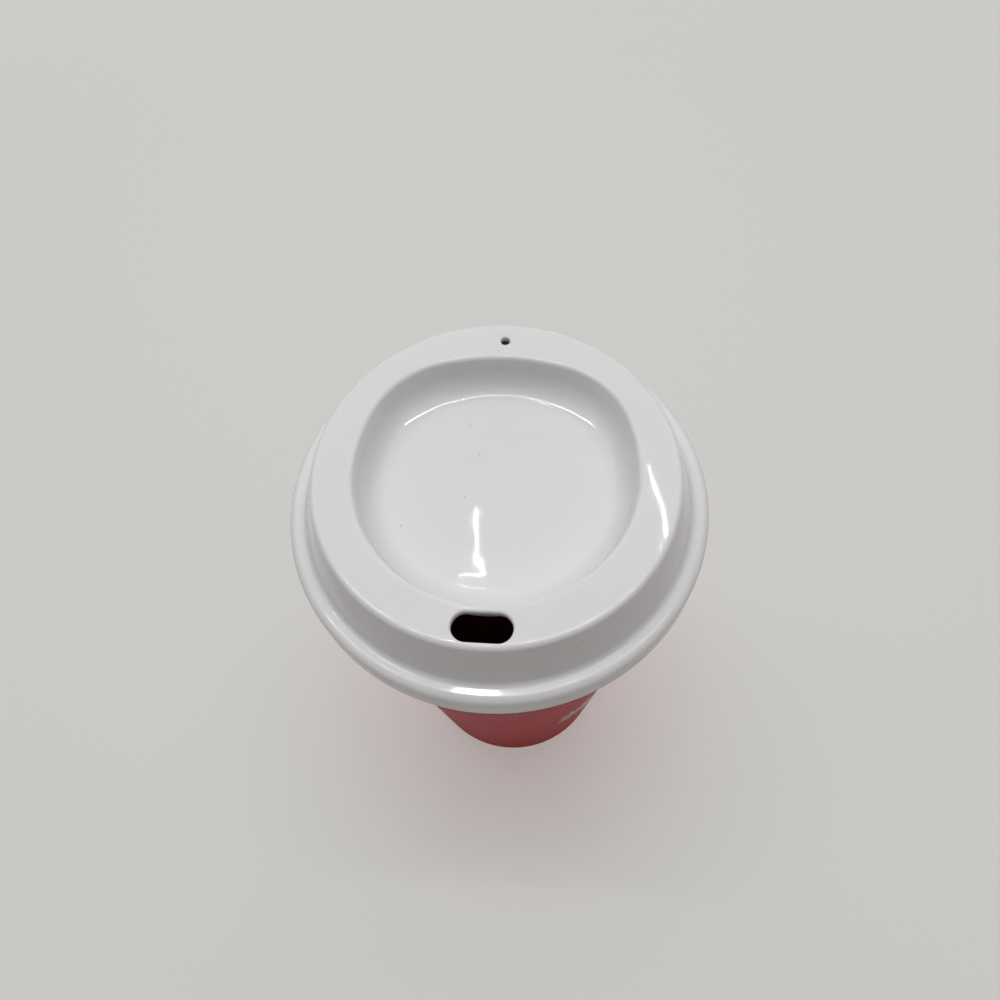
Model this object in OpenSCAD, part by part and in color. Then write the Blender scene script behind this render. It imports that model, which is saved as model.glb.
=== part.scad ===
// A reusable coffee cup: a tapered moulded cup and a lid that presses on over its rim.
// The cup stands on the plane z = 0 and its axis is the Z axis.
// The sip hole is on the -Y side of the lid and the vent hole is on the +Y side.

/* [Cup] */
// Height of the cup, from the table to the top of its rim
cup_h = 135.5; // [110:0.5:160]
// Outside radius of the wall at the table
foot_r = 30.9; // [27:0.1:35]
// Outside radius of the wall at the top of the rim
top_r = 43.7; // [41:0.1:47]
// Thickness of the wall
wall_t = 1.5; // [1.2:0.1:2.4]
// Thickness of the floor
floor_t = 1.8; // [1.2:0.1:4]
// Height of the foot ring under the floor
foot_h = 3; // [1.5:0.5:6]
// Width of the foot ring where it stands on the table
foot_w = 2.4; // [1.8:0.1:5]
// Radius of the corner between the floor and the wall, inside
floor_round = 5; // [2:0.5:12]
// Radius of the outer edge of the foot
foot_round = 1.2; // [0.4:0.1:1.6]

/* [Rim] */
// Width of the rim bead, from the inside of the wall outwards
rim_w = 3.5; // [2.8:0.1:5]
// Height of the rim bead
rim_h = 3.8; // [3:0.1:6]
// Radius of the lower edge of the rim bead
rim_under_round = 0.7; // [0.2:0.1:1]

/* [Lid] */
// Thickness of the lid's top and walls
lid_t = 1.6; // [1.2:0.1:2.2]
// Thickness of the skirt around the rim
skirt_t = 1.6; // [1.2:0.1:2.4]
// Length of skirt below the snap ridge
skirt_lip = 1.7; // [1:0.1:4]
// Radius of the shoulder over the rim
shoulder_round = 2; // [1.8:0.1:3]
// Width of the shoulder, from the skirt's face to the foot of the crown
shoulder_w = 4.1; // [3.6:0.1:7]
// Height of the crown above the shoulder
crown_h = 11.7; // [9.5:0.1:18]
// Slope of the crown's side, from the vertical
crown_draft = 17.7; // [5:0.1:22]
// Radius of the crown's top edge
crown_round = 1.3; // [0.4:0.1:2.5]
// Radius of the hollow corner where the crown meets the shoulder
crown_foot_round = 1.4; // [0.5:0.1:2.4]

/* [Recess] */
// Width of the flat land between the crown's edge and the recess, at the front
land_w = 9; // [8:0.1:12]
// Depth of the recess
recess_depth = 8.6; // [5:0.1:11]
// Slope of the recess wall, from the vertical
recess_draft = 12; // [3:0.5:20]
// Radius of the corner between the recess wall and its floor
recess_floor_round = 6; // [2:0.5:7]
// Radius of the edge of the recess
recess_edge_round = 1; // [0.3:0.1:1.6]
// How far beyond the axis the centre of each side curve lies
side_offset = 11.5; // [6:0.1:16]
// Turn of each side curve, from the lid's middle towards the vent
side_turn = 20; // [12:0.5:26]
// How much smaller the radius of the two back corners is than that of the front
corner_tighten = 9.6; // [6:0.1:13]
// Turn of each back corner
corner_turn = 52.5; // [40:0.5:58]

/* [Holes] */
// Length of the sip hole, across the lid
sip_l = 12.4; // [9:0.1:18]
// Width of the sip hole, along the lid's radius
sip_w = 6.1; // [4.8:0.1:6.4]
// Radius of the sip hole's edge
sip_edge_round = 0.6; // [0.2:0.1:0.7]
// Diameter of the vent hole
vent_d = 2.2; // [1:0.1:3]
// Radius of the vent hole's edge
vent_edge_round = 0.3; // [0.1:0.1:0.5]

/* [Print] */
// Radius of a large snowflake
flake_r = 11; // [8:0.5:12]
// Radius of a small snowflake
small_flake_r = 9; // [6:0.5:11]
// Width of a snowflake's arms and twigs
arm_w = 1.3; // [0.8:0.1:1.6]
// Radius of the dots between the snowflakes
dot_r = 1.1; // [0.6:0.1:2]
// Height of the lowest row's middle
row_low = 22; // [16:1:30]
// Height from one row to the next
row_step = 28; // [24:1:34]
// Thickness of the ink, drawn thicker than the real film
ink_t = 0.15; // [0.1:0.05:0.4]
// Gap between the ink and the wall, so that the two only nearly touch
ink_gap = 0.06; // [0.05:0.01:0.2]

/* [Fit of the lid] */
// Gap between the rim's outside and the skirt
rim_gap = 0.7; // [0.5:0.1:1.2]
// Gap between the rim's top and the roof of the lid's groove
seat_gap = 0.1; // [0.05:0.05:0.5]
// Gap between the snap ridge and the rim, which lets the lid lift straight off
snap_gap = 0.15; // [0.1:0.05:0.3]
// Radius of the snap ridge's section
snap_round = 0.7; // [0.6:0.1:0.9]
// Gap between the sealing ring and the inside of the cup
ring_gap = 0.25; // [0.15:0.05:0.6]
// Thickness of the sealing ring
ring_t = 1; // [0.8:0.1:1.6]
// Depth of the sealing ring below the rim's top
ring_h = 3; // [1.5:0.5:6]

/* [Hidden] */
$fn = 96;
cup_colour = [0.62, 0.19, 0.22];
lid_colour = [0.86, 0.87, 0.87];
ink_colour = [0.9, 0.87, 0.86];
// The printed places of a row: the turn from the front to the first, the turn from each to the
// next, and how many there are. A panel in front stays bare.
first_turn = 45;
place_turn = 27;
places = 11;
// Where a pair of twigs leaves an arm and how long they are, as shares of the arm's length
twigs = [[0.5, 0.3]];
twig_turn = 60;
// How deep the outlines are projected onto the wall, inwards and outwards
print_reach = [4, 2];
// How far a cut runs past a face, so that no skin is left
past = 1;
// Turn between two points of the recess outline, and steps over its edge and its floor corner
outline_step = 5;
edge_steps = 3;
corner_steps = 4;

// The wall's slope, and its horizontal thickness
wall_slope = (top_r - foot_r) / cup_h;
wall_draft = atan(wall_slope);
wall_across = wall_t / cos(wall_draft);
mouth_r = top_r - wall_across;
floor_z = foot_h + floor_t;
rim_r = mouth_r + rim_w;

// The lid takes its sizes from the rim that it closes
lid_r = rim_r + rim_gap + skirt_t;
roof_z = cup_h + seat_gap;
shoulder_z = roof_z + lid_t;
top_z = shoulder_z + crown_h;
crown_base_r = lid_r - shoulder_w;
crown_edge_r = crown_base_r - crown_h * tan(crown_draft);
skirt_in_r = lid_r - skirt_t;
snap_in_r = rim_r + snap_gap;
snap_z = cup_h - rim_h - snap_round;
skirt_z = snap_z - skirt_lip;
ring_z = roof_z - ring_h;
ring_out_r = wall_in_r(ring_z) - ring_gap;
ring_in_r = ring_out_r - ring_t;

// The recess is six tangent arcs: a front half circle, two sides, two back corners and the back
recess_r = crown_edge_r - land_w;
side_r = recess_r + side_offset;
corner_r = recess_r - corner_tighten;
corner_x = (side_r - corner_r) * cos(side_turn) - side_offset;
corner_y = (side_r - corner_r) * sin(side_turn);
back_from = side_turn + corner_turn;
back_r = corner_r + corner_x / cos(back_from);
back_y = corner_y - corner_x * tan(back_from);

// How far inside its outline the recess's floor corner has its centre
floor_inset = (recess_depth - recess_floor_round) * tan(recess_draft)
    + recess_floor_round / cos(recess_draft);

sip_y = -(recess_r + crown_edge_r) / 2;
vent_y = (back_y + back_r + crown_edge_r) / 2;

// As many rows as fit below the skirt
rows = floor((skirt_z - row_low - flake_r) / row_step) + 1;

// Radius of the cup's inside at height z
function wall_in_r(z) = mouth_r - (cup_h - z) * wall_slope;

// Radius of the cup's outside at height z
function wall_out_r(z) = foot_r + z * wall_slope;

// Half section of a round form with a sloping side: it is r wide at height 0 and narrows
// upwards to its flat end at height h. The far edge is rounded, and near_round flares the
// side where it meets height 0. The section runs on below height 0 by the length below.
module drafted_section(r, h, draft, far_round, near_round = 0, below = 0) {
    far_z = h - far_round;
    far_x = r - far_z * tan(draft) - far_round / cos(draft);
    near_x = r - near_round * tan(draft) + near_round / cos(draft);
    difference() {
        union() {
            polygon([
                [0, -below],
                [near_x, -below],
                [near_x, near_round],
                [near_x - near_round * cos(draft), near_round - near_round * sin(draft)],
                [far_x + far_round * cos(draft), far_z + far_round * sin(draft)],
                [far_x, far_z],
                [far_x, h],
                [0, h]
            ]);
            if (far_round > 0) translate([far_x, far_z]) circle(far_round);
        }
        if (near_round > 0) translate([near_x, near_round]) circle(near_round);
    }
}

// Half section from the axis to radius r, between two heights, with rounded outer corners
module disc_section(r, low, high, low_round, high_round) {
    translate([0, low]) square([r - low_round, high - low]);
    translate([0, low + low_round]) square([r, high - low - low_round - high_round]);
    translate([0, high - high_round]) square([r - high_round, high_round]);
    translate([r - low_round, low + low_round]) circle(low_round);
    translate([r - high_round, high - high_round]) circle(high_round);
}

// Half section of the cup's outside, with its rim bead
module cup_outside() {
    side = foot_r + foot_round * (wall_slope - 1 / cos(wall_draft));
    polygon([
        [0, 0],
        [side, 0],
        [side, foot_round],
        [side + foot_round * cos(wall_draft), foot_round * (1 - sin(wall_draft))],
        [top_r - rim_h * wall_slope, cup_h - rim_h],
        [top_r - rim_h * wall_slope, cup_h - rim_w / 2],
        [0, cup_h - rim_w / 2]
    ]);
    translate([side, foot_round]) circle(foot_round);
    intersection() {
        disc_section(rim_r, cup_h - rim_h, cup_h, rim_under_round, rim_w / 2);
        translate([mouth_r + rim_w / 2, cup_h - rim_h]) square([rim_w, rim_h]);
    }
    translate([mouth_r + rim_w / 2, cup_h - rim_w / 2]) circle(rim_w / 2);
}

// Half section of the space inside the cup, with a round corner at the floor
module cup_inside() {
    corner_z = floor_z + floor_round;
    corner_r = wall_in_r(corner_z) - floor_round / cos(wall_draft);
    tangent = [corner_r + floor_round * cos(wall_draft), corner_z - floor_round * sin(wall_draft)];
    polygon([
        [0, floor_z],
        [corner_r, floor_z],
        [corner_r, corner_z],
        tangent,
        [mouth_r - rim_w / 2 * wall_slope, cup_h - rim_w / 2],
        [mouth_r - rim_w / 2 * wall_slope, cup_h + past],
        [0, cup_h + past]
    ]);
    translate([corner_r, corner_z]) circle(floor_round);
}

module cup() {
    color(cup_colour) rotate_extrude() difference() {
        cup_outside();
        cup_inside();
        translate([0, -past])
            drafted_section(foot_r - foot_w, foot_h + past, wall_draft * 2, foot_round);
    }
}

// Points along one arc of the recess outline, moved outwards by grow. Its last point is the
// first point of the next arc.
function arc_points(centre, r, from, turn, grow) = [
    for (i = [0:round(turn / outline_step) - 1])
    let (angle = from + turn * i / round(turn / outline_step))
    centre + (r + grow) * [cos(angle), sin(angle)]
];

// The six arcs in turn, anticlockwise from the left end of the front half circle
function recess_outline(grow) = concat(
    arc_points([0, 0], recess_r, 180, 180, grow),
    arc_points([-side_offset, 0], side_r, 0, side_turn, grow),
    arc_points([corner_x, corner_y], corner_r, side_turn, corner_turn, grow),
    arc_points([0, back_y], back_r, back_from, 180 - 2 * back_from, grow),
    arc_points([-corner_x, corner_y], corner_r, 180 - back_from, corner_turn, grow),
    arc_points([side_offset, 0], side_r, 180 - side_turn, side_turn, grow)
);

// Section of the recess wall from its mouth down, as [grow, height, share]: the rounded edge,
// the sloping wall and the round corner at the floor. The share says how far the outline has
// turned into a circle, which it is at the floor.
function wall_profile(wall) =
    let (slope = tan(recess_draft), along = 1 / cos(recess_draft))
    let (edge = recess_edge_round * [along - slope, -1])
    concat(
        wall > 0 ? [[wall * along, past, 0], [wall * along, 0, 0]] : [
            [edge.x, past, 0],
            for (i = [0:edge_steps])
            let (angle = 90 - (90 - recess_draft) * i / edge_steps)
            let (p = edge + recess_edge_round * [-cos(angle), sin(angle)])
            [p.x, p.y, 0]
        ],
        [
            for (i = [0:corner_steps])
            let (angle = recess_draft + (90 - recess_draft) * i / corner_steps)
            [
                (recess_floor_round + wall) * cos(angle) - floor_inset,
                recess_floor_round - recess_depth - (recess_floor_round + wall) * sin(angle),
                1 - recess_floor_round / floor_inset * cos(angle)
            ]
        ]
    );

// One ring of the recess: its outline moved outwards by grow, then drawn towards a circle
function recess_ring(grow, share) = [
    for (p = recess_outline(grow)) p * (1 - share) + p / norm(p) * (recess_r + grow) * share
];

// The space of the recess, or with a wall the recess together with that wall around it
module recess(wall = 0) {
    profile = wall_profile(wall);
    rings = [for (p = profile) recess_ring(p.x, p.z)];
    around = len(rings[0]);
    last = len(rings) - 1;
    translate([0, 0, top_z]) polyhedron(
        points = [for (i = [0:last]) for (p = rings[i]) [p.x, p.y, profile[i].y]],
        faces = concat(
            [[for (k = [around - 1:-1:0]) k]],
            [[for (k = [0:around - 1]) last * around + k]],
            [
                for (i = [0:last - 1]) for (k = [0:around - 1])
                let (next = (k + 1) % around)
                [i * around + k, i * around + next, (i + 1) * around + next, (i + 1) * around + k]
            ]
        )
    );
}

// Half section of the lid's outside
module lid_outside() {
    disc_section(lid_r, skirt_z, shoulder_z, skirt_t / 2, shoulder_round);
    translate([0, shoulder_z])
        drafted_section(crown_base_r, crown_h, crown_draft, crown_round, crown_foot_round);
}

// Half section of the space inside the crown and the sealing ring
module crown_inside() {
    intersection() {
        translate([0, shoulder_z]) drafted_section(
            crown_base_r - lid_t / cos(crown_draft),
            crown_h - lid_t,
            crown_draft,
            crown_round,
            0,
            shoulder_z
        );
        translate([0, skirt_z - past]) square([ring_in_r, top_z]);
    }
}

// Half section of the groove that takes the rim, with the snap ridge left standing in it
module rim_groove() {
    difference() {
        disc_section(skirt_in_r, skirt_z - past, roof_z, 0.01, shoulder_round - skirt_t);
        translate([0, ring_z]) square([ring_out_r, ring_h + past]);
        translate([snap_in_r + snap_round, snap_z]) circle(snap_round);
    }
}

// A slot through the lid's top at y, with round ends and a rounded upper edge
module slot(length, width, edge_round, y) {
    depth = lid_t + past;
    straight = length - width;
    translate([0, y, top_z]) mirror([0, 0, 1]) {
        for (side = [-1, 1]) translate([side * straight / 2, 0, 0]) rotate_extrude()
            drafted_section(width / 2, depth, 0, 0, edge_round, past);
        if (straight > 0) rotate([90, 0, 90])
            linear_extrude(straight, center = true) for (half = [0, 1]) mirror([half, 0])
                drafted_section(width / 2, depth, 0, 0, edge_round, past);
    }
}

module lid() {
    color(lid_colour) difference() {
        rotate_extrude() lid_outside();
        rotate_extrude() rim_groove();
        difference() {
            rotate_extrude() crown_inside();
            recess(lid_t);
        }
        recess();
        slot(sip_l, sip_w, sip_edge_round, sip_y);
        slot(vent_d, vent_d, vent_edge_round, vent_y);
    }
}

// Outline of one arm of a snowflake along +Y, from the notch at its right to its left side:
// up the right side with its twigs, across the tip and down the left side
function flake_arm(r) =
    let (along = [sin(twig_turn), cos(twig_turn)], across = [-cos(twig_turn), sin(twig_turn)])
    let (right = [
        for (twig = twigs)
        let (at = [arm_w / 2, twig[0] * r], out = twig[1] * r * along)
        each [at, at + out, at + out + arm_w * across, at + [0, arm_w / sin(twig_turn)]]
    ])
    concat(
        [[arm_w / 2, arm_w * cos(30)]],
        right,
        [[arm_w / 2, r], [-arm_w / 2, r]],
        [for (i = [len(right) - 1:-1:0]) [-right[i].x, right[i].y]]
    );

// A six-armed snowflake of radius r
module flake(r) {
    polygon([
        for (turn = [0:60:300])
        for (p = flake_arm(r))
        [p.x * cos(turn) - p.y * sin(turn), p.x * sin(turn) + p.y * cos(turn)]
    ]);
}

// Projects a flat shape onto the wall at a height and a turn from the front
module on_wall(z, turn) {
    rotate([0, 0, turn]) translate([0, print_reach[0] - wall_out_r(z), z]) rotate([90, 0, 0])
        linear_extrude(print_reach[0] + print_reach[1]) children();
}

// The white print: rows of snowflakes with dots between them, each row half a step from the last
module snow_print() {
    color(ink_colour) intersection() {
        rotate_extrude() polygon([
            [wall_out_r(past) + ink_gap, past],
            [wall_out_r(past) + ink_gap + ink_t, past],
            [wall_out_r(skirt_z) + ink_gap + ink_t, skirt_z],
            [wall_out_r(skirt_z) + ink_gap, skirt_z]
        ]);
        for (row = [0:rows - 1]) for (place = [0:places - 1])
            on_wall(row_low + row * row_step, first_turn + place_turn * place)
                if ((row + place) % 2 == 0) circle(dot_r);
                else flake(row % 2 == 0 ? small_flake_r : flake_r);
    }
}

cup();
lid();
snow_print();
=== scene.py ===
# %% [markdown]
# # A reusable coffee cup with a press-on lid
#
# The real thing is two mouldings in polypropylene, the plastic of food boxes. The cup is a
# tapered red beaker with a print in white. The lid is white, and it grips the cup's rim with
# its skirt. Both are round, so both can be drawn as a section that runs around an axis. What
# isn't round is then shaped or cut: the recess of the lid is flatter towards the vent hole,
# and the sip hole is a slot with round ends.
#
# The CAD model gives the frame: where the rim is, how wide the lid is and what moves.

# %% Load the frame
import math

import bmesh
import bpy
from mathutils import Matrix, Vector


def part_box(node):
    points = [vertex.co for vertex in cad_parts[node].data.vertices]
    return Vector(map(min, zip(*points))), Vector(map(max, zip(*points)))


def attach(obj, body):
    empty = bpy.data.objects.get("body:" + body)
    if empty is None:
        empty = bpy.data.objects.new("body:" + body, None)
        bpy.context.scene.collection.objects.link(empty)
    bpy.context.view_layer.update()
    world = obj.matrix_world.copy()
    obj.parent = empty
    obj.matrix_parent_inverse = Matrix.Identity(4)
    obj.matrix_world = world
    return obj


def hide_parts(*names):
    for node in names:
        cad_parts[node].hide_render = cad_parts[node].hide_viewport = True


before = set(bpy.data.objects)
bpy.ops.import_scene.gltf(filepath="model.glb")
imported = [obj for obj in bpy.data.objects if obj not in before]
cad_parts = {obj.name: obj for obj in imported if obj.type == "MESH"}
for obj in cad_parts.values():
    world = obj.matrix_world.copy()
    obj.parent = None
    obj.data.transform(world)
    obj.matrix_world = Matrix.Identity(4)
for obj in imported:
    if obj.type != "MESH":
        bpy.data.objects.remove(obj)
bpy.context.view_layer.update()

bpy.ops.object.select_all(action="DESELECT")
MM = 0.001
cup_low, cup_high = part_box("cup")
lid_low, lid_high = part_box("lid")
print("cup", [round(v / MM, 1) for v in cup_high], "lid", [round(v / MM, 1) for v in lid_high])

# %% [markdown]
# ## The camera
#
# The photo looks down at the lid from the drinking side, from close by. The camera was worked
# out from the ellipses that the lid's circles make in it: how high it stands above the lid,
# how far in front of the cup's axis, and how it is turned.

# %% Place the camera
# Places, lens and sensor in millimetres, turns in degrees
EYE = (13.1, -84.5, 294.0)
EYE_TURN = 8.47
EYE_DOWN = 61.81
EYE_ROLL = -5.14
LENS = 28.08
SENSOR_W = 36
NEAREST = 10

bpy.ops.object.camera_add()
camera = bpy.context.object
camera.name = "camera"
camera.matrix_world = (
    Matrix.Translation([v * MM for v in EYE])
    @ Matrix.Rotation(math.radians(EYE_TURN), 4, "Z")
    @ Matrix.Rotation(math.radians(90 - EYE_DOWN), 4, "X")
    @ Matrix.Rotation(math.radians(EYE_ROLL), 4, "Z")
)
camera.data.lens = LENS
camera.data.sensor_width = SENSOR_W
camera.data.clip_start = NEAREST * MM
bpy.context.scene.camera = camera

# %% [markdown]
# ## Two helpers for turned forms
#
# A section is a list of points, each a distance from the axis and a height. Its round
# stretches are arcs. The form is then drawn out as it would be by hand: a disc at the first
# point, whose edge is extruded, moved and scaled to each next point, and closed at the end.

# %% Draw an arc of a section, and turn a section
# Vertices in each ring
AROUND = 256


def arc(x, z, radius, start, end, steps):
    """Points along an arc about (x, z). Its angles are in degrees from the outward direction."""
    turns = [math.radians(start + (end - start) * i / steps) for i in range(steps + 1)]
    return [(x + radius * math.cos(t), z + radius * math.sin(t)) for t in turns]


def turned(name, section, around=AROUND, start_turn=0.0):
    """A closed form that runs around the Z axis, drawn out ring by ring."""
    r, z = section[0]
    bpy.ops.mesh.primitive_circle_add(
        vertices=around,
        radius=r * MM,
        fill_type="NGON",
        location=(0, 0, z * MM),
        rotation=(0, 0, start_turn),
    )
    piece = bpy.context.object
    piece.name = piece.data.name = name
    bpy.ops.object.transform_apply(location=True, rotation=True)
    bpy.ops.object.mode_set(mode="EDIT")
    bpy.ops.mesh.select_mode(type="EDGE")
    bpy.ops.mesh.select_all(action="SELECT")
    for next_r, next_z in section[1:]:
        step = (0, 0, (next_z - z) * MM)
        bpy.ops.mesh.extrude_edges_move(TRANSFORM_OT_translate={"value": step})
        bpy.ops.transform.resize(value=(next_r / r, next_r / r, 1))
        r, z = next_r, next_z
    bpy.ops.mesh.edge_face_add()
    bpy.ops.mesh.select_all(action="SELECT")
    bpy.ops.mesh.normals_make_consistent(inside=False)
    bpy.ops.object.mode_set(mode="OBJECT")
    print(name, len(piece.data.vertices), "vertices")
    return piece


# %% [markdown]
# A modifier is added, set and applied in one go, so that each piece ends as a plain mesh.

# %% Apply a modifier
def apply(piece, kind, **settings):
    """Adds one modifier to the piece, sets it and applies it."""
    bpy.ops.object.select_all(action="DESELECT")
    piece.select_set(True)
    bpy.context.view_layer.objects.active = piece
    bpy.ops.object.modifier_add(type=kind)
    modifier = piece.modifiers[-1]
    for name, value in settings.items():
        setattr(modifier, name, value)
    bpy.ops.object.modifier_apply(modifier=modifier.name)


# Degrees from which an edge stays sharp, and how far large faces lead the shading (50 is even)
SHARP = 32
FLATNESS = 60


def smooth(piece):
    """Shades the piece smooth, apart from its sharp edges, and keeps flats flat."""
    bpy.ops.object.select_all(action="DESELECT")
    piece.select_set(True)
    bpy.context.view_layer.objects.active = piece
    bpy.ops.object.shade_smooth_by_angle(angle=math.radians(SHARP))
    apply(piece, "WEIGHTED_NORMAL", keep_sharp=True, weight=FLATNESS)


# %% [markdown]
# ## The cup
#
# The cup is one moulding with a wall of even thickness, so its section goes once round the
# wall: from the hollow under the foot, over the foot ring, up the outside, over the rim bead
# and down the inside to the floor.

# %% Turn the cup
RIM_TOP = cup_high.z / MM
FOOT_R = 30.9
TOP_R = 43.7
WALL = 1.5
FLOOR = 1.8
FOOT_H = 3.0
FOOT_W = 2.4
FOOT_ROUND = 1.2
FLOOR_ROUND = 5.0
# The hollow under the floor, and the inner edge of the foot ring
UNDER_ROUND = 1.2
RING_LEAN = 0.8
RING_EDGE = 0.5
RIM_W = 3.5
RIM_H = 3.8
RIM_UNDER = 0.7
# Radius of the first ring, and of flat left beside the two corners
MIDDLE = 4
UNDER_FLAT = 0.4
FLOOR_FLAT = 0.6
# Heights of the rings on the plain wall, going up outside and down inside
OUTSIDE_RINGS = range(4, 130, 6)
INSIDE_RINGS = range(128, 12, -6)

SLOPE = (TOP_R - FOOT_R) / RIM_TOP
LEAN = math.atan(SLOPE)
LEAN_DEG = math.degrees(LEAN)
MOUTH_R = TOP_R - WALL / math.cos(LEAN)
RIM_R = MOUTH_R + RIM_W


def wall_out(z):
    """Radius of the cup's outside at height z."""
    return FOOT_R + z * SLOPE


def wall_in(z):
    """Radius of the cup's inside at height z."""
    return MOUTH_R - (RIM_TOP - z) * SLOPE


foot_edge = FOOT_R + FOOT_ROUND * (SLOPE - 1 / math.cos(LEAN))
rim_round = RIM_W / 2
floor_z = FOOT_H + FLOOR
corner_z = floor_z + FLOOR_ROUND
corner_r = wall_in(corner_z) - FLOOR_ROUND / math.cos(LEAN)
under_r = FOOT_R - FOOT_W - RING_LEAN

cup_section = [(MIDDLE, FOOT_H), (under_r - UNDER_ROUND - UNDER_FLAT, FOOT_H)]
cup_section += arc(under_r - UNDER_ROUND, FOOT_H - UNDER_ROUND, UNDER_ROUND, 90, 10, 5)
cup_section += arc(FOOT_R - FOOT_W + RING_EDGE, RING_EDGE, RING_EDGE, 190, 270, 4)
cup_section += arc(foot_edge, FOOT_ROUND, FOOT_ROUND, -90, -LEAN_DEG, 6)
cup_section += [(wall_out(z), z) for z in OUTSIDE_RINGS]
under_rim = RIM_TOP - RIM_H
cup_section += [(wall_out(under_rim), under_rim)]
cup_section += arc(RIM_R - RIM_UNDER, under_rim + RIM_UNDER, RIM_UNDER, -90, 0, 4)
cup_section += arc(MOUTH_R + rim_round, RIM_TOP - rim_round, rim_round, 0, 180, 16)
cup_section += [(wall_in(z), z) for z in INSIDE_RINGS]
cup_section += arc(corner_r, corner_z, FLOOR_ROUND, -LEAN_DEG, -90, 8)
cup_section += [(corner_r - FLOOR_FLAT, floor_z), (MIDDLE, floor_z)]

cup = turned("cup_body", cup_section)
smooth(cup)

# %% [markdown]
# ## The lid
#
# The lid's section is drawn in the same way. It starts in the middle of the recess, comes up
# its wall, goes over the land and down the crown to the shoulder and the skirt, and then runs
# back inside: past the snap ridge, through the groove that holds the rim, round the sealing
# ring and along the underside. It also stays one wall thick all the way.

# %% List the lid's sizes
TOP = lid_high.z / MM
LID_R = lid_high.x / MM
LID_T = 1.6
SKIRT_T = 1.6
SKIRT_LIP = 1.7
SHOULDER_ROUND = 2.0
SHOULDER_W = 4.1
CROWN_H = 11.7
CROWN_LEAN = 17.7
CROWN_ROUND = 1.3
CROWN_FOOT = 1.4
LAND = 9.0
RECESS_DEPTH = 8.6
RECESS_LEAN = 12.0
RECESS_CORNER = 6.0
RECESS_EDGE = 1.0
SNAP_ROUND = 0.7
SNAP_GAP = 0.15
RING_GAP = 0.25
RING_T = 1.0
RING_H = 3.0
# A ring this far from a round edge keeps the flat beside it flat
BESIDE = 0.25
# Radius of the first ring
LID_MIDDLE = 5

shoulder = TOP - CROWN_H
roof = shoulder - LID_T
crown_foot_r = LID_R - SHOULDER_W
crown_slope = math.tan(math.radians(CROWN_LEAN))
crown_along = 1 / math.cos(math.radians(CROWN_LEAN))
crown_top_r = crown_foot_r - CROWN_H * crown_slope
recess_slope = math.tan(math.radians(RECESS_LEAN))
recess_along = 1 / math.cos(math.radians(RECESS_LEAN))
recess_r = crown_top_r - LAND
snap_z = RIM_TOP - RIM_H - SNAP_ROUND
skirt_z = snap_z - SKIRT_LIP
ring_z = roof - RING_H
ring_out = wall_in(ring_z) - RING_GAP
ring_in = ring_out - RING_T

# %% Draw the lid's section over the top
recess_floor = TOP - RECESS_DEPTH
floor_inset = (RECESS_DEPTH - RECESS_CORNER) * recess_slope + RECESS_CORNER * recess_along
floor_r = recess_r - floor_inset
land_in = recess_r + RECESS_EDGE * (recess_along - recess_slope)
edge_r = crown_top_r + CROWN_ROUND * (crown_slope - crown_along)
foot_r = crown_foot_r + CROWN_FOOT * (crown_along - crown_slope)

lid_section = [(LID_MIDDLE, recess_floor), (floor_r / 2, recess_floor)]
lid_section += [(floor_r - BESIDE, recess_floor)]
lid_section += arc(
    floor_r, recess_floor + RECESS_CORNER, RECESS_CORNER, -90, -RECESS_LEAN, 14
)
lid_section += arc(land_in, TOP - RECESS_EDGE, RECESS_EDGE, 180 - RECESS_LEAN, 90, 7)
lid_section += [(land_in + BESIDE, TOP), ((land_in + edge_r) / 2, TOP), (edge_r - BESIDE, TOP)]
lid_section += arc(edge_r, TOP - CROWN_ROUND, CROWN_ROUND, 90, CROWN_LEAN, 8)
lid_section += arc(foot_r, shoulder + CROWN_FOOT, CROWN_FOOT, 180 + CROWN_LEAN, 270, 8)
lid_section += arc(
    LID_R - SHOULDER_ROUND, shoulder - SHOULDER_ROUND, SHOULDER_ROUND, 90, 0, 14
)
lid_section += arc(LID_R - SKIRT_T / 2, skirt_z + SKIRT_T / 2, SKIRT_T / 2, 0, -180, 12)

# %% Draw the lid's section along the underside
skirt_in = LID_R - SKIRT_T
snap_x = RIM_R + SNAP_GAP + SNAP_ROUND
snap_turn = math.degrees(math.acos((skirt_in - snap_x) / SNAP_ROUND))
groove_round = SHOULDER_ROUND - SKIRT_T
crown_in_r = crown_foot_r - LID_T * crown_along
ceiling = TOP - LID_T
ring_meet = shoulder + (crown_in_r - ring_in) / crown_slope
ceiling_r = crown_in_r - (CROWN_H - LID_T - CROWN_ROUND) * crown_slope - CROWN_ROUND * crown_along
bowl_r = recess_r + LID_T * recess_along
bowl_round = RECESS_CORNER + LID_T
bowl_floor = recess_floor - LID_T

lid_section += arc(snap_x, snap_z, SNAP_ROUND, 360 - snap_turn, snap_turn, 8)
lid_section += arc(skirt_in - groove_round, roof - groove_round, groove_round, 0, 90, 6)
lid_section += [(ring_out, roof), (ring_out, ring_z), (ring_in, ring_z), (ring_in, ring_meet)]
lid_section += arc(ceiling_r, ceiling - CROWN_ROUND, CROWN_ROUND, CROWN_LEAN, 90, 6)
lid_section += [(bowl_r - LID_T * recess_slope, ceiling)]
lid_section += arc(floor_r, bowl_floor + bowl_round, bowl_round, -RECESS_LEAN, -90, 10)
lid_section += [(floor_r / 2, bowl_floor), (LID_MIDDLE, bowl_floor)]

lid = turned("lid_shell", lid_section)

# %% [markdown]
# The mouth of the recess isn't quite round. Seen from above it is a half circle on the
# drinking side, and towards the vent hole it widens into two soft corners with a flatter back
# between them. So its outline is six arcs, each tangent to the next. The floor stays round:
# each ring of the wall is stretched from the circle towards the outline, not at all at the
# floor and fully at the mouth, and over the land the stretch dies away again.

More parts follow.
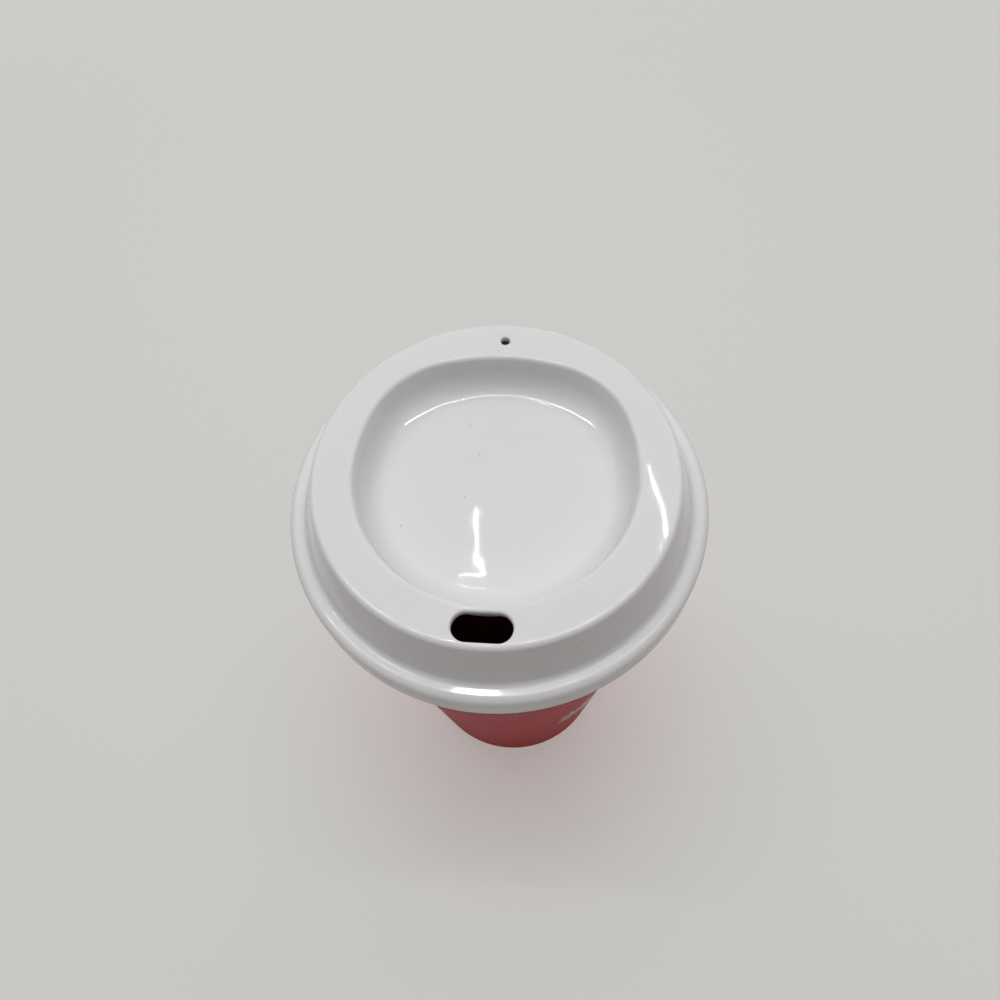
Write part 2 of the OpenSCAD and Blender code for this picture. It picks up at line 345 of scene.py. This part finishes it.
# %% Shape the recess
SIDE_OFFSET = 11.5
SIDE_TURN = 20.0
CORNER_TIGHTEN = 9.6
CORNER_TURN = 52.5
# The stretch has died away this far inside the wall of the crown
FADED_BY = 0.5

side_r = recess_r + SIDE_OFFSET
tight_r = recess_r - CORNER_TIGHTEN
side_turn = math.radians(SIDE_TURN)
back_turn = math.radians(SIDE_TURN + CORNER_TURN)
corner_x = (side_r - tight_r) * math.cos(side_turn) - SIDE_OFFSET
corner_y = (side_r - tight_r) * math.sin(side_turn)
back_r = tight_r + corner_x / math.cos(back_turn)
back_y = corner_y - corner_x * math.tan(back_turn)


def reach(x, y, radius, turn):
    """Distance from the axis, in the direction turn, to the circle about (x, y)."""
    along = x * math.cos(turn) + y * math.sin(turn)
    return along + math.sqrt(radius**2 - x**2 - y**2 + along**2)


def junction(turn):
    """Direction, seen from the axis, of the end of a corner arc whose own direction is turn."""
    return math.atan2(corner_y + tight_r * math.sin(turn), corner_x + tight_r * math.cos(turn))


def recess_reach(turn):
    """Distance from the axis to the recess outline, where turn is from the lid's side."""
    if turn <= 0:
        return recess_r
    if turn < junction(side_turn):
        return reach(-SIDE_OFFSET, 0, side_r, turn)
    if turn < junction(back_turn):
        return reach(corner_x, corner_y, tight_r, turn)
    return reach(0, back_y, back_r, turn)


stretch_to = ceiling_r - FADED_BY
bend_z = recess_floor + RECESS_CORNER
wall_lean = math.radians(RECESS_LEAN)
wall_z = bend_z - RECESS_CORNER * math.sin(wall_lean)


def follow(r, z):
    """How far a ring follows the mouth: not in the floor, fully at the mouth, not past the land."""
    if r <= floor_r:
        return 0.0
    turn = max(wall_lean, math.atan2(bend_z - z, r - floor_r))
    share = RECESS_CORNER * math.cos(turn) / floor_inset
    if turn == wall_lean:
        share += (1 - share) * (z - wall_z) / (TOP - wall_z)
    fade = (stretch_to - r) / (stretch_to - bowl_r)
    return share * min(1.0, max(0.0, fade))


for vertex in lid.data.vertices:
    x, y, z = (v / MM for v in vertex.co)
    r = math.hypot(x, y)
    stretch = 1 + follow(r, z) * (recess_reach(math.atan2(y, abs(x))) - recess_r) / r
    vertex.co.x *= stretch
    vertex.co.y *= stretch
print("recess: front", round(recess_r, 2), "back", round(back_y + back_r, 2))

# %% [markdown]
# ## The two holes
#
# The sip hole has round ends and a rounded upper edge, so that it is kind to the lip. Its
# cutter is a turned plug with a flared top, pulled apart into a slot: the half on each side
# slides outwards, and the faces between them stretch into the straight edges. The vent hole
# is the same plug, small and round.

# %% Cut the sip hole and the vent hole
SIP_L = 12.4
SIP_W = 6.1
SIP_EDGE = 0.6
VENT_D = 2.2
VENT_EDGE = 0.3
# Vertices around each plug, and how far it runs past the lid
SIP_AROUND = 64
VENT_AROUND = 40
PAST = 1.0
# The flare starts this far above the land, so that it crosses it cleanly
LIFT = 0.004


def cut_hole(length, width, edge, y, around):
    """Cuts a slot with round ends and a rounded upper edge through the lid's land, at y."""
    flare = arc(width / 2 + edge, TOP - edge + LIFT, edge, 90, 180, 6)
    section = [(width / 2 + edge, TOP + PAST)] + flare + [(width / 2, ceiling - PAST)]
    cutter = turned("cutter", section, around, math.pi / around)
    for vertex in cutter.data.vertices:
        vertex.co.x += math.copysign((length - width) / 2 * MM, vertex.co.x)
        vertex.co.y += y * MM
    apply(lid, "BOOLEAN", object=cutter, operation="DIFFERENCE", solver="EXACT")
    bpy.data.objects.remove(cutter)


sip_y = -(recess_r + crown_top_r) / 2
vent_y = (back_y + back_r + crown_top_r) / 2
cut_hole(SIP_L, SIP_W, SIP_EDGE, sip_y, SIP_AROUND)
cut_hole(VENT_D, VENT_D, VENT_EDGE, vent_y, VENT_AROUND)
smooth(lid)
print("lid", len(lid.data.vertices), "vertices after the holes")

# %% [markdown]
# ## The print
#
# The red wall carries a print in white. Here it is a plain winter pattern: six-armed
# snowflakes in rows around the cup, each row half a step from the last, with dots between
# them, and a bare panel in front. Screen ink lies on the wall as a film with crisp edges. So
# each motif is drawn flat, cut into narrow strips so that it can bend, pressed onto the wall
# and given the thickness of a film.

# %% Draw a snowflake flat
FLAKE_R = 11.0
SMALL_FLAKE_R = 9.0
ARM_W = 1.3
ARM_TURN = math.radians(60)
# Where each pair of twigs leaves an arm and how long it is, as shares of the arm's length
TWIGS = ((0.34, 0.2), (0.6, 0.27))
DOT_R = 1.1
DOT_AROUND = 18
# The motifs are drawn this far in front of the cup's axis, facing it
IN_FRONT = TOP_R + 10


def pick_edge(piece, x, z):
    """Selects the edge whose middle is nearest to x and z."""
    mesh = bmesh.from_edit_mesh(piece.data)
    bpy.ops.mesh.select_all(action="DESELECT")
    middles = {edge: (edge.verts[0].co + edge.verts[1].co) / 2 / MM for edge in mesh.edges}
    nearest = min(middles, key=lambda edge: math.hypot(middles[edge].x - x, middles[edge].z - z))
    nearest.select_set(True)
    bmesh.update_edit_mesh(piece.data)


def pull_edge(length, turn):
    """Extrudes the selected edge by a length, in a direction that is turned from upwards."""
    step = (length * math.sin(turn) * MM, 0, length * math.cos(turn) * MM)
    bpy.ops.mesh.extrude_edges_move(TRANSFORM_OT_translate={"value": step})


def snowflake(radius):
    """A flat snowflake: a hexagon with six arms, each with two pairs of twigs."""
    bpy.ops.mesh.primitive_circle_add(
        vertices=6,
        radius=ARM_W * MM,
        fill_type="NGON",
        location=(0, -IN_FRONT * MM, 0),
        rotation=(math.pi / 2, math.pi / 6, 0),
    )
    bpy.ops.object.transform_apply(location=True, rotation=True)
    flake = bpy.context.object
    bpy.ops.object.mode_set(mode="EDIT")
    bpy.ops.mesh.select_mode(type="EDGE")
    twig_foot = ARM_W / math.sin(ARM_TURN)
    for arm in range(6):
        turn = arm * ARM_TURN
        at = ARM_W * math.cos(ARM_TURN / 2)
        pick_edge(flake, at * math.sin(turn), at * math.cos(turn))
        stops = []
        for share, _ in TWIGS:
            stops += [share * radius, share * radius + twig_foot]
        for stop in stops + [radius]:
            pull_edge(stop - at, turn)
            at = stop
        for share, length in TWIGS:
            at = share * radius + twig_foot / 2
            for side in (-1, 1):
                out = side * ARM_W / 2
                pick_edge(
                    flake,
                    at * math.sin(turn) + out * math.cos(turn),
                    at * math.cos(turn) - out * math.sin(turn),
                )
                pull_edge(length * radius, turn + side * ARM_TURN)
    bpy.ops.object.mode_set(mode="OBJECT")
    return flake


def ink_dot():
    """A flat round dot."""
    bpy.ops.mesh.primitive_circle_add(
        vertices=DOT_AROUND,
        radius=DOT_R * MM,
        fill_type="NGON",
        location=(0, -IN_FRONT * MM, 0),
        rotation=(math.pi / 2, 0, 0),
    )
    bpy.ops.object.transform_apply(location=True, rotation=True)
    return bpy.context.object


# %% Press a motif onto the wall, all round
# The face of the ink stands this far off the wall, and the film is this thick
INK = 0.05
FILM_T = 0.04
# A motif is cut into strips of this width
STRIP = 1.2


def print_around(motif, height, turns):
    """Presses a flat motif onto the wall at a height, and copies it to each turn."""
    for vertex in motif.data.vertices:
        vertex.co.z += height * MM
    reach_x = max(vertex.co.x for vertex in motif.data.vertices) / MM
    bpy.ops.object.mode_set(mode="EDIT")
    for i in range(int(-reach_x / STRIP), int(reach_x / STRIP) + 1):
        bpy.ops.mesh.select_all(action="SELECT")
        bpy.ops.mesh.bisect(plane_co=(i * STRIP * MM, 0, 0), plane_no=(1, 0, 0))
    bpy.ops.object.mode_set(mode="OBJECT")
    apply(
        motif,
        "SHRINKWRAP",
        target=cup,
        wrap_method="PROJECT",
        use_project_y=True,
        use_positive_direction=True,
        use_negative_direction=False,
        offset=INK * MM,
        wrap_mode="ABOVE_SURFACE",
    )
    copies = []
    for turn in turns:
        bpy.ops.object.select_all(action="DESELECT")
        motif.select_set(True)
        bpy.context.view_layer.objects.active = motif
        bpy.ops.object.duplicate()
        bpy.ops.transform.rotate(value=turn, orient_axis="Z", center_override=(0, 0, 0))
        bpy.ops.object.transform_apply(location=True, rotation=True)
        copies.append(bpy.context.object)
    bpy.data.objects.remove(motif)
    return copies


# %% Print the rows
# Heights in millimetres, turns in degrees
ROW_LOW = 22.0
ROW_STEP = 28.0
FIRST_TURN = 45.0
PLACE_TURN = 27.0
PLACES = 11

rows = int((skirt_z - ROW_LOW - FLAKE_R) / ROW_STEP) + 1
turns = [math.radians(FIRST_TURN + PLACE_TURN * place) for place in range(PLACES)]
prints = []
for row in range(rows):
    height = ROW_LOW + row * ROW_STEP
    large = row % 2 == 1
    flake = snowflake(FLAKE_R if large else SMALL_FLAKE_R)
    prints += print_around(flake, height, turns[0::2] if large else turns[1::2])
    prints += print_around(ink_dot(), height, turns[1::2] if large else turns[0::2])
print(len(prints), "printed shapes in", rows, "rows")

# %% Join the print
bpy.ops.object.select_all(action="DESELECT")
for motif in prints:
    motif.select_set(True)
bpy.context.view_layer.objects.active = prints[0]
bpy.ops.object.join()
snow_print = bpy.context.object
snow_print.name = snow_print.data.name = "snow_print_film"
bpy.ops.object.mode_set(mode="EDIT")
bpy.ops.mesh.select_all(action="SELECT")
bpy.ops.mesh.normals_make_consistent(inside=False)
bpy.ops.object.mode_set(mode="OBJECT")
outward = sum(face.normal.dot(face.center) for face in snow_print.data.polygons)
print("faces look outwards" if outward > 0 else "faces look inwards")
apply(snow_print, "SOLIDIFY", thickness=FILM_T * MM, offset=-1)
smooth(snow_print)

# %% [markdown]
# ## Materials
#
# Colours are written as sRGB hex, as a colour picker shows them, and turned to the linear
# values that the shader works with. One small function adds a node with its settings and
# links.

# %% Turn colours to linear, and add a node
def linear(hex_colour):
    """An sRGB hex colour as linear RGBA."""
    parts = [int(hex_colour[i : i + 2], 16) / 255 for i in (1, 3, 5)]
    return [p / 12.92 if p <= 0.04045 else ((p + 0.055) / 1.055) ** 2.4 for p in parts] + [1.0]


def add(tree, kind, inputs=None, **settings):
    """Adds a node, sets it, and gives each named input a value or a link."""
    made = tree.nodes.new(kind)
    for name, value in settings.items():
        setattr(made, name, value)
    for name, value in (inputs or {}).items():
        if isinstance(value, bpy.types.NodeSocket):
            tree.links.new(value, made.inputs[name])
        else:
            made.inputs[name].default_value = value
    return made


def new_material(name):
    """An empty material: its node tree and its surface socket."""
    made = bpy.data.materials.new(name)
    made.use_nodes = True
    made.node_tree.nodes.clear()
    output = made.node_tree.nodes.new("ShaderNodeOutputMaterial")
    return made, made.node_tree, output.inputs["Surface"]


# %% [markdown]
# Injection-moulded polypropylene is a waxy, slightly translucent plastic. A polished mould
# gives it a clear gloss, but the surface is never optically flat: it sinks and swells by a few
# thousandths of a millimetre over each centimetre as it cools, so that reflections waver.
# Its colour is a little cloudy, and a few fine specks of dust lie on it.

# %% Make moulded polypropylene
# Sizes in millimetres. Sinks and scuffs are drawn deeper than real ones, so that they show
CLOUD = 22
SINK = 9
SINK_DEPTH = 0.08
SCUFF = 0.6
SCUFF_DEPTH = 0.004
SCUFF_STRENGTH = 0.35
# One speck of dust to each cell of this size, from clear dust to clear plastic over these shares
DUST = 8
DUST_IN = 0.02
DUST_OUT = 0.03
# Where the noise mostly lies, and how far the roughness goes down and up with it
NOISE_LOW = 0.3
NOISE_HIGH = 0.7
GLOSSIER = 0.8
DULLER = 1.25
PLASTIC_IOR = 1.49


def moulded_polypropylene(name, hex_colour, hex_shade, hex_dust, roughness, glow, radius):
    """Gloss polypropylene: a faint cloudiness, a wavering surface and some light inside it."""
    material, tree, surface = new_material(name)
    place = add(tree, "ShaderNodeTexCoord").outputs["Object"]
    cloud = add(
        tree, "ShaderNodeTexNoise", {"Vector": place, "Scale": 1 / (CLOUD * MM), "Detail": 3.0}
    )
    tint = add(
        tree,
        "ShaderNodeMix",
        {0: cloud.outputs["Fac"], 6: linear(hex_colour), 7: linear(hex_shade)},
        data_type="RGBA",
    )
    sink = add(
        tree, "ShaderNodeTexNoise", {"Vector": place, "Scale": 1 / (SINK * MM), "Detail": 1.0}
    )
    scuff = add(
        tree, "ShaderNodeTexNoise", {"Vector": place, "Scale": 1 / (SCUFF * MM), "Detail": 4.0}
    )
    wave = add(
        tree,
        "ShaderNodeBump",
        {"Height": sink.outputs["Fac"], "Strength": 1.0, "Distance": SINK_DEPTH * MM},
    )
    grain = add(
        tree,
        "ShaderNodeBump",
        {
            "Height": scuff.outputs["Fac"],
            "Strength": SCUFF_STRENGTH,
            "Distance": SCUFF_DEPTH * MM,
            "Normal": wave.outputs["Normal"],
        },
    )
    gloss = add(
        tree,
        "ShaderNodeMapRange",
        {
            "Value": scuff.outputs["Fac"],
            "From Min": NOISE_LOW,
            "From Max": NOISE_HIGH,
            "To Min": roughness * GLOSSIER,
            "To Max": roughness * DULLER,
        },
    )
    dust = add(tree, "ShaderNodeTexVoronoi", {"Vector": place, "Scale": 1 / (DUST * MM)})
    clear = add(
        tree,
        "ShaderNodeMapRange",
        {"Value": dust.outputs["Distance"], "From Min": DUST_IN, "From Max": DUST_OUT},
    )
    dusty = add(
        tree,
        "ShaderNodeMix",
        {0: clear.outputs["Result"], 6: linear(hex_dust), 7: tint.outputs[2]},
        data_type="RGBA",
    )
    shader = add(
        tree,
        "ShaderNodeBsdfPrincipled",
        {
            "Base Color": dusty.outputs[2],
            "Roughness": gloss.outputs["Result"],
            "Normal": grain.outputs["Normal"],
            "IOR": PLASTIC_IOR,
            "Subsurface Weight": glow,
            "Subsurface Radius": radius,
            "Subsurface Scale": 1.0 * MM,
        },
    )
    tree.links.new(shader.outputs["BSDF"], surface)
    return material


white_plastic = moulded_polypropylene(
    "moulded_white_polypropylene", "#EEEEEF", "#EBEAEB", "#C6C3C0", 0.04, 0.35, (2.2, 1.8, 1.75)
)
red_plastic = moulded_polypropylene(
    "moulded_red_polypropylene", "#CA1D2D", "#C11A29", "#B4373F", 0.46, 0.05, (1.5, 0.4, 0.3)
)

# %% [markdown]
# Screen ink on plastic is an opaque film with a soft gloss of its own, a little duller than
# the moulding under it, with faint specks where the ink didn't quite take.

# %% Make the ink
# Size and depth of the specks in millimetres, and from which noise on the ink is whole
SPECK = 0.5
SPECK_DEPTH = 0.01
THIN_TO = 0.3
WHOLE_FROM = 0.42
INK_ROUGHNESS = 0.3
INK_IOR = 1.5


def screen_ink(name, hex_colour, hex_thin):
    """White screen-printed ink with a fine speckle."""
    material, tree, surface = new_material(name)
    place = add(tree, "ShaderNodeTexCoord").outputs["Object"]
    speck = add(
        tree, "ShaderNodeTexNoise", {"Vector": place, "Scale": 1 / (SPECK * MM), "Detail": 5.0}
    )
    thin = add(
        tree,
        "ShaderNodeMapRange",
        {"Value": speck.outputs["Fac"], "From Min": THIN_TO, "From Max": WHOLE_FROM},
    )
    tint = add(
        tree,
        "ShaderNodeMix",
        {0: thin.outputs["Result"], 6: linear(hex_thin), 7: linear(hex_colour)},
        data_type="RGBA",
    )
    bump = add(
        tree,
        "ShaderNodeBump",
        {"Height": speck.outputs["Fac"], "Strength": 0.5, "Distance": SPECK_DEPTH * MM},
    )
    shader = add(
        tree,
        "ShaderNodeBsdfPrincipled",
        {
            "Base Color": tint.outputs[2],
            "Roughness": INK_ROUGHNESS,
            "IOR": INK_IOR,
            "Normal": bump.outputs["Normal"],
        },
    )
    tree.links.new(shader.outputs["BSDF"], surface)
    return material


white_ink = screen_ink("screen_printed_white_ink", "#E4DEDC", "#D2A9AB")

# %% Dress the pieces
for piece, material, body, slot in (
    (cup, red_plastic, "cup", "cup"),
    (lid, white_plastic, "lid", "lid"),
    (snow_print, white_ink, "cup", "print"),
):
    piece.data.materials.clear()
    piece.data.materials.append(material)
    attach(piece, body)
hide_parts("cup")
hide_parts("lid")
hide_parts("snow_print")

# %% [markdown]
# ## Floor, lamps and world
#
# The cup stands on a plain pale table top under soft light. Its front is dimmer than its top
# and its back, so most of the light comes from one wide panel above and behind it, and little
# from around. A long tube lights the front of the lid, and short ones draw bright lines in its
# gloss. The table's far end and the room are seen as the same pale field. The camera sees the
# table half as it is lit and half as that plain field, so the shadow stays, but soft.

# %% Lay the table top
# Size in metres
FLOOR_SIZE = 8.0
TABLE = "#DEDDD9"
TABLE_ROUGHNESS = 0.5
FIELD = "#D6D6D3"
# Beside the cup the field is painted with the red light that the cup throws back onto the table,
# between these millimetres from its axis
FIELD_RED_BOUNCE = "#D6CBC9"
RED_BOUNCE_FROM = 35
RED_BOUNCE_TO = 90
# The field's share near the cup, and the metres between which it grows to the whole
FIELD_SHARE = 0.5
NEAR = 0.35
FAR = 1.2

floor_material, tree, surface = new_material("pale_table_top")
table_top = add(
    tree,
    "ShaderNodeBsdfPrincipled",
    {"Base Color": linear(TABLE), "Roughness": TABLE_ROUGHNESS},
)
place = add(tree, "ShaderNodeTexCoord").outputs["Object"]
away = add(tree, "ShaderNodeVectorMath", {0: place}, operation="LENGTH").outputs["Value"]
# Painted red bounce light: the field is tinted red beside the cup and fades to plain further out
beside = add(
    tree,
    "ShaderNodeMapRange",
    {"Value": away, "From Min": RED_BOUNCE_FROM * MM, "From Max": RED_BOUNCE_TO * MM},
    interpolation_type="SMOOTHSTEP",
)
field_colour = add(
    tree,
    "ShaderNodeMix",
    {0: beside.outputs["Result"], 6: linear(FIELD_RED_BOUNCE), 7: linear(FIELD)},
    data_type="RGBA",
)
field = add(tree, "ShaderNodeEmission", {"Color": field_colour.outputs[2], "Strength": 1.0})
share = add(
    tree,
    "ShaderNodeMapRange",
    {"Value": away, "From Min": NEAR, "From Max": FAR, "To Min": FIELD_SHARE, "To Max": 1.0},
    interpolation_type="SMOOTHSTEP",
)
seen = add(tree, "ShaderNodeLightPath").outputs["Is Camera Ray"]
part = add(tree, "ShaderNodeMath", {0: share.outputs["Result"], 1: seen}, operation="MULTIPLY")
mix = add(
    tree,
    "ShaderNodeMixShader",
    {0: part.outputs["Value"], 1: table_top.outputs["BSDF"], 2: field.outputs["Emission"]},
)
tree.links.new(mix.outputs["Shader"], surface)
bpy.ops.mesh.primitive_plane_add(size=FLOOR_SIZE)
floor = bpy.context.object
floor.name = "table_top"
floor.data.materials.append(floor_material)

# %% Hang the lamps
LAMP_COLOUR = (0.975, 1.0, 1.005)
# Middle and size in metres, power in watts and turn in degrees. The last three are bare tubes,
# too small to light much, that draw thin bright lines in the gloss
LAMPS = (
    ("wide_panel", (-0.15, 0.6, 1.3), (1.8, 1.6), 6.0, 0),
    ("long_tube", (-0.05, 0.2, 1.28), (1.1, 0.03), 4.1, 0),
    ("left_tube", (-0.120, 0.505, 1.28), (0.004, 0.12), 0.075, 14),
    ("left_tube_end", (-0.132, 0.438, 1.28), (0.04, 0.004), 0.025, 20),
    ("right_tube", (0.208, 0.58, 1.28), (0.004, 0.2), 0.13, 10),
)


def hang_lamp(name, middle, size, power, turn):
    """A rectangular lamp that faces straight down."""
    bpy.ops.object.light_add(type="AREA", location=middle, rotation=(0, 0, math.radians(turn)))
    lamp = bpy.context.object
    lamp.name = name
    lamp.data.shape = "RECTANGLE"
    lamp.data.size, lamp.data.size_y = size
    lamp.data.energy = power
    lamp.data.color = LAMP_COLOUR


for lamp in LAMPS:
    hang_lamp(*lamp)
print(len(LAMPS), "lamps")

# %% Light the room
# Colour of the room's light, and its strength in front of the cup and behind it
ROOM = "#DDD6D4"
ROOM_FRONT = 0.19
ROOM_BACK = 0.62

world = bpy.data.worlds.new("soft_room")
world.use_nodes = True
tree = world.node_tree
tree.nodes.clear()
towards = add(tree, "ShaderNodeTexCoord").outputs["Generated"]
towards_y = add(tree, "ShaderNodeSeparateXYZ", {"Vector": towards}).outputs["Y"]
level = add(
    tree,
    "ShaderNodeMapRange",
    {
        "Value": towards_y,
        "From Min": -1.0,
        "From Max": 1.0,
        "To Min": ROOM_FRONT,
        "To Max": ROOM_BACK,
    },
)
light = add(
    tree,
    "ShaderNodeBackground",
    {"Color": linear(ROOM), "Strength": level.outputs["Result"]},
)
room = add(tree, "ShaderNodeBackground", {"Color": linear(FIELD), "Strength": 1.0})
seen = add(tree, "ShaderNodeLightPath").outputs["Is Camera Ray"]
mix = add(
    tree,
    "ShaderNodeMixShader",
    {0: seen, 1: light.outputs["Background"], 2: room.outputs["Background"]},
)
add(tree, "ShaderNodeOutputWorld", {"Surface": mix.outputs["Shader"]})
bpy.context.scene.world = world
bpy.context.scene.view_settings.view_transform = "Standard"
